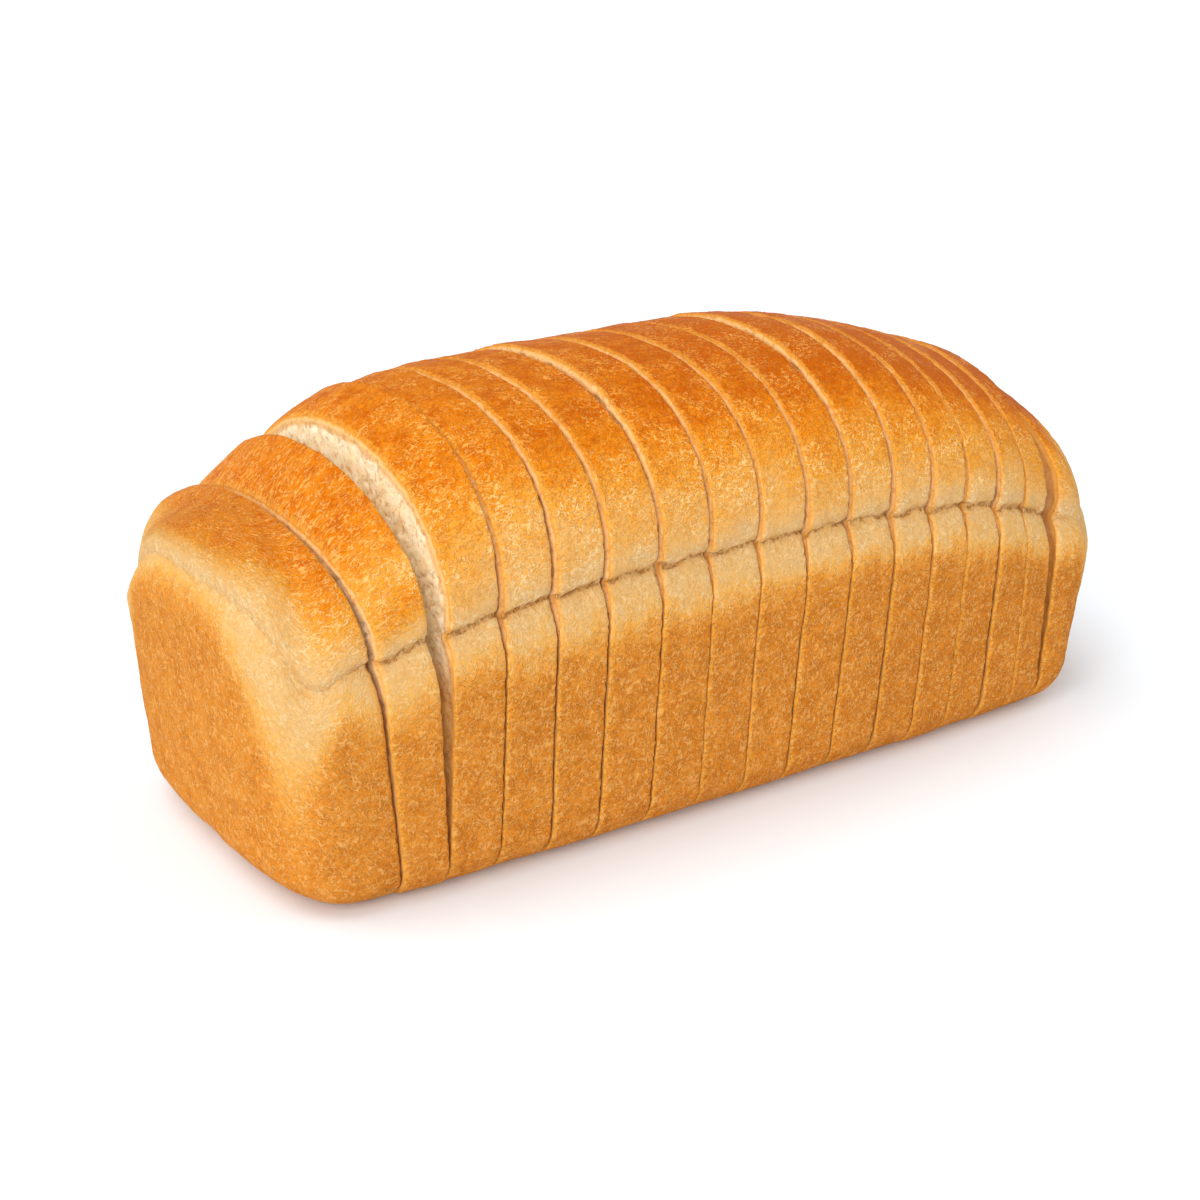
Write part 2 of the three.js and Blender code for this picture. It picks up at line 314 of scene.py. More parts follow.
def outward(grid, closed, flip):
    """Unit normals of a grid of points, rows by columns."""
    if closed:
        along_row = np.roll(grid, -1, axis=1) - np.roll(grid, 1, axis=1)
    else:
        along_row = np.gradient(grid, axis=1)
    normal = np.cross(np.gradient(grid, axis=0), along_row)
    if flip:
        normal = -normal
    return normal / np.maximum(np.linalg.norm(normal, axis=-1, keepdims=True), 1e-9)


# Relief of the crust and the crumb ----
CREASE_SLIT = {"depth": 0.75, "half_width": 0.36}
CREASE_GROOVE = {"depth": 0.6, "half_width": 1.5}
CREASE_STEP = 1.1  # how much higher a slice's crease is at its far cut than the loaf's own
CUT_RECESS = {"crown": 0.24, "side": -0.36}  # below 0 the edge stands proud
CUT_REACH = 2.0  # how far from a cut its edge strays
SOFT_EDGE = 0.28  # how far the crust rolls in at a cut
GROUNDING = 3.0  # the relief fades out over this height above the floor
FAINTER_FAR_RIM = 1.2  # the painted highlight on a slice's far rim is as faint as on its near rim this far from the cut
# A browner patch low on the front of the crown near the near end
LOW_CROWN_PATCH = {"x": -101.0, "half_length": 9.0, "above": 13.0, "half_height": 7.0, "bake": 0.3}


def crease_line(points, above):
    """Height above the ragged crease, which strays from its even line, in millimetres."""
    return above + 0.8 * noise(points, 4.2, 11, 0.15) + 0.6 * noise(points, 1.4, 12, 0.15)


def crust_relief(points, above, sharpness):
    """Height of the crust over its even surface, in millimetres."""
    crown = ease(above, 1.0, 9.0)
    side = ease(-above, 2.0, 12.0)
    blisters = 0.22 * noise(points, 9.0, 1) + 0.1 * noise(points, 4.2, 2)
    patches = ease(noise(points, 13.0, 3), -0.5, 0.4)
    wrinkles = 0.17 * (1 - np.abs(noise(points, 2.3, 4, 1.2))) ** 4 * (0.25 + 0.75 * patches)
    skin = 0.05 * noise(points, 1.5, 5)
    pits = -0.16 * ease(noise(points, 1.9, 6), 0.45, 0.8)
    pulled = 0.1 * noise(points, 1.7, 7, 0.22) * hump(above, 6.0)
    line = crease_line(points, above)
    slit = CREASE_SLIT["depth"] * hump(line, CREASE_SLIT["half_width"])
    groove = CREASE_GROOVE["depth"] * hump(line, CREASE_GROOVE["half_width"])
    gathered = 0.65 + 0.35 * noise(points, 2.6, 8, 0.3)
    fold = -gathered * (slit * sharpness + groove)
    lip = 0.4 * hump(line - 1.8, 1.2)
    tufts = 0.2 * noise(points, 0.95, 9, 0.5) * hump(line, 1.8)
    return (
        blisters
        + crown * wrinkles
        + side * (0.9 * pits + 0.06 * noise(points, 1.2, 10))
        + skin
        + pulled
        + sharpness * (fold + lip + tufts)
    )


def soft_edge(points, above, edge):
    """How far the crust rolls in beside a cut: all along it, and more by the crease, where the
    soft dough was pressed in, most of all at the far end."""
    rolled = SOFT_EDGE * (1 - np.minimum(edge / 0.7, 1)) ** 2
    pressed = 0.6 * hump(above, 10.0) * (1 - np.minimum(edge / 2.6, 1)) ** 2
    return rolled + pressed * (0.35 + 0.65 * ease(points[..., 0], -30.0, 60.0))


# Share of the gap in front of it that a face's crumb swells into: a near face's at each end of
# the loaf, and any far face's
CRUMB_SWELL = {"near_end": 0.45, "far_end": 0.2, "far_face": 0.1}
TOUCHING_SWELL = 0.48  # and the share either face swells into deep inside, where slices touch


def edge_shift(points, above, seed, gap, outward_x):
    """How far along the loaf a cut edge strays from its straight cut, in millimetres: slow waves
    and small nicks, smaller in a narrow gap, and a crown pressed back behind the crumb. It never
    passes the middle of the gap. outward_x is 1 for a far face, else -1."""
    across = points * np.array([0, 1, 1])
    slow = 0.1 * noise(across, 5.5, seed) + 0.05 * noise(across, 2.2, seed + 1)
    waver = min(1.0, gap) * (slow + 0.19 * noise(across, 1.1, seed + 2))
    proud = ease(-above, 2.0, 12.0)
    recess = CUT_RECESS["crown"] * (1 - proud) + CUT_RECESS["side"] * min(1.0, gap) * proud
    return outward_x * np.minimum(outward_x * waver - recess, TOUCHING_SWELL * gap)


def crumb_relief(points, depth, seed):
    """How far the crumb sinks behind its crust's cut edge, in millimetres."""
    inside = ease(depth, 0.8, 2.0)
    pores = ease(noise(points, 1.7, seed), 0.35, 0.75) * 0.35
    pores = pores + ease(noise(points, 3.4, seed + 1), 0.5, 0.8) * 0.45
    return inside * (0.12 + pores + 0.08 * noise(points, 1.1, seed + 2))


# Meshes -------------------------------
class Body:
    """Vertices, faces and measures of one piece while it is put together. The materials read the
    measures: millimetres above the crease over the crust, from the cut edge and deep in the
    crumb, how browned (on the far heel's cut face, how much painted shade darkens it),
    millimetres above the ragged crease line, how hard it is folded there, and the place on the
    crust rolled out flat. One that isn't given is 0."""

    def __init__(self):
        self.points = []
        names = ("above", "edge", "depth", "baked", "line", "fold", "place")
        self.measures = {name: [] for name in names}
        self.faces = []
        self.corners = []  # where each face's corners lie on the baking sheet
        self.kinds = []
        self.count = 0

    def add_points(self, points, **measures):
        """Adds points, and gives back their numbers in the same arrangement."""
        shape = points.shape[:-1]
        self.points.append(points.reshape(-1, 3))
        for name, values in self.measures.items():
            size = (3,) if name == "place" else ()
            given = np.broadcast_to(measures.get(name, 0.0), shape + size)
            values.append(given.reshape(-1, *size))
        numbers = np.arange(self.count, self.count + np.prod(shape, dtype=int)).reshape(shape)
        self.count += numbers.size
        return numbers

    def add_faces(self, numbers, places, kind):
        """Adds faces of three or four corners, in rows, with the places of their corners."""
        self.faces.append(numbers)
        self.corners.append(places)
        self.kinds.append(np.full(len(numbers), kind))

    def mesh(self, name, materials):
        data = bpy.data.meshes.new(name)
        points = np.concatenate(self.points) * MM
        data.vertices.add(len(points))
        data.vertices.foreach_set("co", points.ravel().astype(np.float32))
        sizes = np.concatenate([np.full(len(f), f.shape[1]) for f in self.faces])
        starts = np.concatenate([[0], np.cumsum(sizes)[:-1]])
        data.loops.add(int(sizes.sum()))
        data.loops.foreach_set("vertex_index", np.concatenate([f.ravel() for f in self.faces]))
        data.polygons.add(len(sizes))
        data.polygons.foreach_set("loop_start", starts)
        data.polygons.foreach_set("material_index", np.concatenate(self.kinds))
        data.update(calc_edges=True)
        data.shade_smooth()
        for measure, values in self.measures.items():
            kind, part = ("FLOAT_VECTOR", "vector") if measure == "place" else ("FLOAT", "value")
            made = data.attributes.new(measure, kind, "POINT")
            made.data.foreach_set(part, np.concatenate(values).astype(np.float32).ravel())
        sheet = data.uv_layers.new(name="OFBake")
        flat = np.concatenate([places.reshape(-1, 2) for places in self.corners])
        sheet.data.foreach_set("uv", flat.ravel().astype(np.float32))
        for material in materials:
            data.materials.append(material)
        return data


# The baking sheet of a piece: its crust on the left, its cut faces on the right
STRIPS = 6
SHEET_SKIN = 0.62
SHEET_GAP = 0.012
SHEET_FACE = 0.35
FACE_SPAN = 120.0  # a cut face with room to spare
LOWER_FACE, UPPER_FACE = (0.64, 0.02), (0.64, 0.52)  # low corners of the two faces
CLEAR = 9.0  # for points that are clear of the crease line
CENTRE_DEPTH = 50.0


def face_sheet(points, low_corner):
    """Places of a cut face's points, seen square on."""
    across = (points[..., 1] + FACE_SPAN / 2) / FACE_SPAN
    up = points[..., 2] / FACE_SPAN
    return np.stack([across, up], axis=-1) * SHEET_FACE + np.array(low_corner)


def turned(ring):
    """A ring of corners, each replaced by the next one round."""
    return tuple(np.roll(part, -1, axis=0) for part in ring)


def joined(outer, inner):
    """Corners of the faces between two rings, the inner with as many points or half as many."""
    if len(outer[0]) == len(inner[0]):
        return [[outer, turned(outer), turned(inner), inner]]
    even, odd = (tuple(part[start::2] for part in outer) for start in (0, 1))
    return [[even, odd, inner], [odd, turned(even), turned(inner)], [odd, turned(inner), inner]]


def add_cut(body, rim, rim_points, above, towards_far, cut, seed, low_corner):
    """Fills one cut face with rings of crumb inside the crust's edge. cut says how wide the gap
    in front of it is, how deep the face shows, how far its edge strays and how much painted
    shade darkens it."""
    middle = np.array([rim_points[:, 0].mean(), *FACE_CENTRE])
    straight = rim_points[:, 0] - cut["shift"]
    lean = np.ptp(straight) / np.ptp(rim_points[:, 2])
    lean *= np.sign(straight[len(rim) // 2] - straight[0])
    reach = np.linalg.norm(rim_points[:, 1:] - middle[1:], axis=1)
    inward = -1 if towards_far else 1
    swell = CRUMB_SWELL["far_face"]
    if not towards_far:
        along = ease(middle[0], -70.0, 70.0)
        swell = CRUMB_SWELL["near_end"] * (1 - along) + CRUMB_SWELL["far_end"] * along
    open_swell = swell * (0.35 + 0.65 * ease(above, -12.0, -2.0))

    def ring_at(depth, step):
        """Points of one ring, step points apart on the rim, depth millimetres inside it."""
        chosen = rim_points[::step]
        points = middle + (chosen - middle) * (1 - depth / reach[::step])[:, None]
        points[:, 0] = chosen[:, 0] + lean * (points[:, 2] - chosen[:, 2])
        points[:, 0] += inward * crumb_relief(points * np.array([0, 1, 1]), depth, seed)
        inside = ease(depth, 0.1, 1.6)
        touching = ease(depth, 2.4, 6.0)
        share = open_swell[::step] * (1 - touching) + TOUCHING_SWELL * touching
        points[:, 0] -= inside * (inward * share * cut["gap"] + cut["shift"][::step])
        return points

    def fill(corners):
        numbers, places = zip(*(corners[::-1] if towards_far else corners))
        body.add_faces(np.stack(numbers, axis=-1), np.stack(places, axis=1), 1)

    depths = list(RIM_DEPTHS)
    depths += list(np.arange(depths[-1] + RING_STEP, cut.get("shown", 0.0), RING_STEP))
    rings = [(depth, 1) for depth in depths]
    for share, step in INNER_RINGS:
        rings.append((depths[-1] + share * (reach[::step] - depths[-1]), step))
    outer = (rim, face_sheet(rim_points, low_corner))
    for depth, step in rings:
        points = ring_at(depth, step)
        # Only the far heel's cut face has some: painted shade, as that face lies in the dark gap
        baked = cut.get("toast_and_shade", 0.0)
        numbers = body.add_points(points, above=above[::step], depth=depth, baked=baked, line=CLEAR)
        inner = (numbers, face_sheet(points, low_corner))
        for corners in joined(outer, inner):
            fill(corners)
        outer = inner
    centre = points.mean(axis=0, keepdims=True)
    number = body.add_points(centre, depth=CENTRE_DEPTH, line=CLEAR)
    place = face_sheet(centre, low_corner)
    middle_at = tuple(np.broadcast_to(a, b.shape) for a, b in zip((number, place), outer))
    fill([outer, turned(outer), middle_at])


def browning(points, above, round_corner=0.0, end_face=0.0, even=0.0, end_bake=0.0):
    """How browned the crust is, from 0, pale, to 1. It is least along the crease, where the
    dough rose last. The crown is brownest on top, and more so towards the far end; the tin side
    is even from a little below the crease, but pale further down round a heel's corner. even
    says how far a heel's crown takes the one golden brown of its end, which end_bake gives."""
    streaks = 2.2 * noise(points, 2.2, 21, 0.25) * (1 - 0.45 * end_face)
    drift = (2.4 * noise(points, 17.0, 22) + 1.6 * noise(points, 6.0, 23)) * (1 - 0.5 * end_face)
    along = ease(points[..., 0], -110.0, 70.0)
    crown = 0.32 * ease(above + 0.5 * drift, 0.0, 10.0)
    crown = crown + 0.5 * ease(above + drift * 1.6, 4.0, 46.0 - 11.0 * along)
    crown = crown + (0.03 + 0.21 * along) * ease(above, 26.0, 50.0)
    low_patch = hump(points[..., 0] - LOW_CROWN_PATCH["x"], LOW_CROWN_PATCH["half_length"])
    low_patch = low_patch * hump(above + drift - LOW_CROWN_PATCH["above"], LOW_CROWN_PATCH["half_height"])
    crown = crown + LOW_CROWN_PATCH["bake"] * low_patch * ease(-points[..., 1], 10.0, 30.0)
    crown = crown * (1 - 0.5 * round_corner * (1 - ease(above, 12.0, 34.0)))
    risen = above + 0.4 * drift
    golden = end_bake * (0.4 * ease(risen, 0.0, 8.0) + 0.6 * ease(risen, 7.0, 26.0))
    crown = crown + 0.85 * np.maximum(end_face, even) * (golden - crown)
    start = 2.5 + 6.0 * round_corner - 6.0 * end_face
    stop = 22.0 - 5.0 * along + 42.0 * round_corner - 13.0 * end_face
    side = ease(-above + streaks + drift, start, np.maximum(stop, start + 5))
    side = side * (0.88 + 0.05 * along - 0.02 * end_face)
    return np.where(above > 0, crown, side)


def add_wrap(body, numbers, ring, along):
    """Faces of a slice's crust between its cuts, laid on the sheet in strips, one above another.
    ring is the outline that is carried from cut to cut, and along each copy's share of the way."""
    walked = np.cumsum(np.linalg.norm(np.roll(ring, -1, axis=0) - ring, axis=1))
    walked = np.concatenate([[0], walked]) / walked[-1]
    strip = np.minimum((walked[:-1] * STRIPS).astype(int), STRIPS - 1)
    start, stop = ((part * STRIPS - strip) * SHEET_SKIN for part in (walked[:-1], walked[1:]))
    up = strip / STRIPS + along[:, None] * (1 / STRIPS - SHEET_GAP)
    corners = [(start, up[:-1]), (start, up[1:]), (stop, up[1:]), (stop, up[:-1])]
    places = [np.stack(np.broadcast_arrays(*corner), axis=-1) for corner in corners]
    following = np.roll(numbers, -1, axis=1)
    around = [numbers[:-1], numbers[1:], following[1:], following[:-1]]
    faces = np.stack(around, axis=-1).reshape(-1, 4)
    body.add_faces(faces, np.stack(places, axis=2).reshape(-1, 4, 2), 0)


def make_slice(piece, near_x, number):
    name, thickness, gap, leans, slide, lift = piece
    body = Body()
    stages, above = stage_list(SLICE_STAGES)
    offsets = station_list(thickness)
    along = offsets / thickness
    x = (near_x + offsets)[:, None]
    r, z = cross_section(x, lift, stages, CREASE_STEP * (along[:, None] - 0.5))
    lean = leans[0] + (leans[1] - leans[0]) * along[:, None]
    grid = closed_loop(settle(slide, lean, x, -r, z), settle(slide, lean, x, r, z))
    up = np.concatenate([above, 2 * above[-1] - above[-2:0:-1]])
    above = np.broadcast_to(closed_row(above), grid.shape[:2])
    from_near, from_far = offsets[:, None], (thickness - offsets)[:, None]
    edge = np.minimum(from_near, from_far)
    normal = outward(grid, closed=True, flip=False)
    normal[..., 0] = 0
    height = crust_relief(grid, above, 1.0) * ease(grid[..., 2], 0.0, GROUNDING)
    height = height - soft_edge(grid, above, edge)
    shaped = grid + normal * height[..., None]
    shaped[..., 2] = np.maximum(shaped[..., 2], 0.0)
    near_gap = PIECES[number - 1][2]
    near_shift = edge_shift(grid, above, 40 + 7 * number, near_gap, -1)
    far_shift = edge_shift(grid, above, 43 + 7 * number, gap, 1)
    shaped[..., 0] += near_shift * (1 - ease(from_near, 0, CUT_REACH))
    shaped[..., 0] += far_shift * (1 - ease(from_far, 0, CUT_REACH))
    numbers = body.add_points(
        shaped,
        above=above,
        edge=np.minimum(from_near, from_far + FAINTER_FAR_RIM),
        baked=browning(grid, above),
        line=crease_line(grid, above),
        fold=1.0,
        place=skin_place(x, up),
    )
    add_wrap(body, numbers, grid[0], along)
    near = {"gap": near_gap, "shift": near_shift[0], "shown": SHOWN_CRUMB.get(name, 0.0)}
    far = {"gap": gap, "shift": far_shift[-1]}
    seed = 60 + 9 * number
    add_cut(body, numbers[0], shaped[0], above[0], False, near, seed, LOWER_FACE)
    add_cut(body, numbers[-1], shaped[-1], above[-1], True, far, seed + 4, UPPER_FACE)
    return body


def skin_place(around, up):
    """Where points of the crust lie on it as if rolled out flat, in metres."""
    around, up = np.broadcast_arrays(around, up)
    return np.stack([around, up, np.zeros(up.shape)], axis=-1) * MM


def round_the_end(half_width, length, roundness, fractions):
    """Angles that divide one level of a heel evenly, from its front cut to its back one, and how
    long the way round is."""
    dense = np.linspace(-math.pi / 2, math.pi / 2, 1201)
    across = half_width * np.sign(dense) * np.abs(np.sin(dense)) ** (2 / roundness)
    along = length * np.maximum(0, np.cos(dense)) ** (2 / roundness)
    walked = np.concatenate([[0], np.cumsum(np.hypot(np.diff(across), np.diff(along)))])
    return np.interp(fractions * walked[-1], walked, dense), walked[-1]


def heel_grid(piece, cut_x, direction, end, stages, fractions):
    """Each level of a heel's cut section, carried round the end of the loaf: its points, how far
    they lie from its front cut over the crust, and how near they are to a round corner."""
    _, _, _, leans, slide, lift = piece
    section_r, section_z = cross_section(np.float64(cut_x), lift, stages)
    top_z = crown_height(cut_x) + lift
    length, end_z = half_profile(
        end["reach"], end["corner"], end["crease_z"], top_z, end["roundness"], stages
    )
    crown_base = crease_height(cut_x) + LIP_HEIGHT
    climb = np.clip((section_z - crown_base) / (top_z - crown_base), 0, 1)
    roundness = HEEL_ROUNDNESS + (CROWN_END_ROUNDNESS - HEEL_ROUNDNESS) * np.sqrt(climb)
    below = np.minimum(1, section_z / crease_height(cut_x)) ** CREASE_REACH
    crease_share = np.where(climb > 0, 1 - climb, below)
    rows, arounds, corners = [], [], []
    for level in range(1, len(stages) - 1):
        angle, span = round_the_end(section_r[level], length[level], roundness[level], fractions)
        power = 2 / roundness[level]
        across = np.sign(angle) * np.abs(np.sin(angle)) ** power
        along = np.maximum(0, np.cos(angle)) ** power
        along[0] = along[-1] = 0.0
        dip = sum(d * hump(angle - at, spread) for at, spread, d in end["dips"])
        z = end_z[level] + (section_z[level] - end_z[level]) * across**END_FLATNESS
        z = z - crease_share[level] * dip
        x = cut_x + direction * length[level] * along
        rows.append(settle(slide, leans[0], x, section_r[level] * across, z))
        arounds.append(fractions * span)
        corners.append(hump(np.abs(angle) - CORNER_ANGLE, CORNER_SPREAD))
    return np.stack(rows), np.stack(arounds), np.stack(corners)


def make_heel(piece, cut_x, direction, end, stage_count, steps, number):
    """A heel, whose crust is one grid from the front cut round the end to the back cut, with a
    pole at the base and one at the top. direction is 1 at the far end, else -1."""
    _, _, _, leans, slide, lift = piece
    body = Body()
    stages, above = stage_list(stage_count)
    fractions = np.linspace(0, 1, steps)
    fractions = fractions - HEEL_CROWDING * np.sin(2 * math.pi * fractions)
    grid, around, round_corner = heel_grid(piece, cut_x, direction, end, stages, fractions)
    above_grid = np.broadcast_to(above[1:-1, None], grid.shape[:2])
    edge = np.minimum(around, around[:, -1:] - around)
    round_end = ease(np.abs(grid[..., 0] - cut_x), 6.0, 16.0)
    softened = (round_end * hump(above_grid, 7.0))[1:-1, :, None]
    for _ in range(END_SMOOTHINGS):
        between = (grid[:-2] + grid[2:]) / 2
        grid[1:-1] += 0.5 * softened * (between - grid[1:-1])
    normal = outward(grid, closed=False, flip=direction > 0)
    normal[:, 0, 0] = normal[:, -1, 0] = 0
    sharpness = end["crease_depth"] * (1 - 0.65 * round_end)
    height = crust_relief(grid, above_grid, sharpness) * ease(grid[..., 2], 0.0, GROUNDING)
    height = height - soft_edge(grid, above_grid, edge)
    shaped = grid + normal * height[..., None]
    shaped[..., 2] = np.maximum(shaped[..., 2], 0.0)
    gap = piece[2] or PIECES[-2][2]
    shift = edge_shift(grid, above_grid, 40 + 7 * number, gap, -direction)
    shaped[..., 0] += shift * (1 - ease(edge, 0, CUT_REACH))
    place = skin_place(around - around[:, -1:] / 2 + HEEL_ASIDE * direction, above[1:-1, None])
    flat_end = round_end * (1 - round_corner)
    even = end["even_bake"] * (1 - round_corner)
    numbers = body.add_points(
        shaped,
        above=above_grid,
        edge=edge,
        baked=browning(grid, above_grid, round_corner, flat_end, even, end["crown_bake"]),
        line=crease_line(grid, above_grid),
        fold=sharpness,
        place=place,
    )
    poles = settle(slide, leans[0], cut_x, 0.0, np.array([0.0, crown_height(cut_x) + lift]))
    pole_place = np.stack([place[0, steps // 2], place[-1, steps // 2]])
    ends = above[[0, -1]]
    pole_numbers = body.add_points(poles, above=ends, baked=1.0, line=CLEAR, place=pole_place)

    walked = (above - above[0]) / (above[-1] - above[0])
    across_and_up = np.broadcast_arrays(fractions * SHEET_SKIN, walked[1:-1, None])
    sheet = np.stack(across_and_up, axis=-1)

    def part(rows, columns):
        return numbers[rows, columns], sheet[rows, columns]

    def fill(corners):
        parts = corners[::-1] if direction < 0 else corners
        faces = np.stack([n.ravel() for n, _ in parts], axis=-1)
        body.add_faces(faces, np.stack([p.reshape(-1, 2) for _, p in parts], axis=1), 0)

    lower, upper = slice(None, -1), slice(1, None)
    fill([part(lower, lower), part(lower, upper), part(upper, upper), part(upper, lower)])
    for pole, row in ((0, 0), (1, -1)):
        start, stop = part(row, lower), part(row, upper)
        middle = (start[1][:, 0] + stop[1][:, 0]) / 2
        place = np.stack([middle, np.full(steps - 1, float(pole))], axis=-1)
        centre = (np.full(steps - 1, pole_numbers[pole]), place)
        fill([start, stop, centre] if pole else [stop, start, centre])

    rim = np.concatenate([pole_numbers[:1], numbers[:, 0], pole_numbers[1:], numbers[::-1, -1]])
    rim_points = np.concatenate([poles[:1], shaped[:, 0], poles[1:], shaped[::-1, -1]])
    strays = np.concatenate([[0.0], shift[:, 0], [0.0], shift[::-1, -1]])
    # The far heel's cut face is painted darker as shade
    cut = {"gap": gap, "shift": strays, "toast_and_shade": FAR_HEEL_PAINTED_SHADE if direction > 0 else 0.0}
    rim_above, seed = closed_row(above), 60 + 9 * number
    add_cut(body, rim, rim_points, rim_above, direction < 0, cut, seed, LOWER_FACE)
    return body


# Materials ----------------------------
# Fibres, then wrinkles: shift, spacing in millimetres, thinness, and how much of them shows. Real
# ones are finer than a tenth of a millimetre, so these are drawn as coarse as they need to show
FIBRES = [
    (0.0, 1.5, 0.066, 0.7),
    (31.0, 1.05, 0.07, 0.7),
    (57.0, 1.4, 0.06, 0.5),
    (83.0, 1.0, 0.065, 0.5),
]
CROWN_BROWNS = [
    (0.0, "#d9b07a"), (0.26, "#e9ae60"), (0.55, "#eb9b30"), (0.82, "#e17e10"), (1.0, "#ca6002")
]
SIDE_BROWNS = [
    (0.0, "#ddb072"), (0.3, "#e8a952"), (0.62, "#e6993e"), (0.86, "#da872e"), (1.0, "#c87624")
]
# Where a painted sheen lies on the near end's crown: more and paler light fibres, fewer dark
# wrinkles
NEAR_SHEEN_ZONE = (-0.105, -0.08, 0.7)  # of the near end's crown: stations in metres, and how much

# Settings that many nodes share
SMOOTH = {"interpolation_type": "SMOOTHSTEP"}
PAINT = {"data_type": "RGBA"}
TIMES = {"operation": "MULTIPLY"}
TIMES_PLUS = {"operation": "MULTIPLY_ADD"}
MINUS = {"operation": "SUBTRACT"}
LARGER = {"operation": "MAXIMUM"}


def linear(code):
    """An sRGB colour such as "#e08a2c" as linear red, green, blue and an alpha of one."""
    parts = [int(code[i : i + 2], 16) / 255 for i in (1, 3, 5)]
    parts = [p / 12.92 if p <= 0.04045 else ((p + 0.055) / 1.055) ** 2.4 for p in parts]
    return (*parts, 1.0)


def per_metre(size):
    """The scale that gives a pattern features about size millimetres apart."""
    return 1 / (size * MM)


def node(tree, kind, values=(), stops=None, **settings):
    """Adds a shader node with its settings, values and links. Values are a list, for its sockets
    in order, or go by the socket's name. A node stands for its first output, and a colour code
    for its colour."""
    made = tree.nodes.new("ShaderNode" + kind)
    for name, value in settings.items():
        setattr(made, name, value)
    if isinstance(values, dict):
        given = [(made.inputs[name], value) for name, value in values.items()]
    else:
        given = zip([socket for socket in made.inputs if socket.enabled], values)
    for socket, value in given:
        if isinstance(value, bpy.types.Node):
            value = next(output for output in value.outputs if output.enabled)
        if isinstance(value, bpy.types.NodeSocket):
            tree.links.new(value, socket)
        else:
            socket.default_value = linear(value) if isinstance(value, str) else value
    if stops:
        elements = made.color_ramp.elements
        while len(elements) < len(stops):
            elements.new(1.0)
        for element, (at, code) in zip(elements, stops):
            element.position = at
            element.color = linear(code)
    return made


def new_material(name):
    """An empty material, and the function that adds a node to it."""
    material = bpy.data.materials.new(name)
    material.use_nodes = True
    tree = material.node_tree
    tree.nodes.clear()
    return material, partial(node, tree)


def add_threads(add, place, on_crown):
    """Fibres and wrinkles: lines of equal height in curled noise, broken up by coarser noise."""
    curl = add("TexNoise", {"Vector": place, "Scale": per_metre(2.6), "Detail": 1.0})
    curl_by = {0: curl.outputs["Color"], "Scale": 1.5 * MM}
    curl_by = add("VectorMath", curl_by, operation="SCALE")
    grown = {0: on_crown, 4: (1.05, 0.85, 1.0), 5: (1.05, 1.15, 1.0)}
    grown = add("Mix", grown, data_type="VECTOR")
    drawn = add("VectorMath", [place, grown.outputs[1]], **TIMES)
    curled = add("VectorMath", [drawn, curl_by], operation="ADD")
    lines = []
    for aside, size, thin, share in FIBRES:
        at = add("VectorMath", [curled, (aside * MM, 0.0, 0.0)], operation="ADD")
        field = add("TexNoise", {"Vector": at, "Scale": per_metre(size), "Detail": 0.6})
        off = add("Math", [add("Math", [field, 0.5], **MINUS)], operation="ABSOLUTE")
        thread = add("MapRange", [off, thin, thin * 0.2], **SMOOTH)
        broken = add("TexNoise", {"Vector": at, "Scale": per_metre(size * 1.1), "Detail": 1.0})
        kept = add("MapRange", [broken, 0.58 - share * 0.2, 0.64 - share * 0.2], **SMOOTH)
        lines.append(add("Math", [thread, kept], **TIMES))
    return add("Math", lines[:2], **LARGER), add("Math", lines[2:], **LARGER)


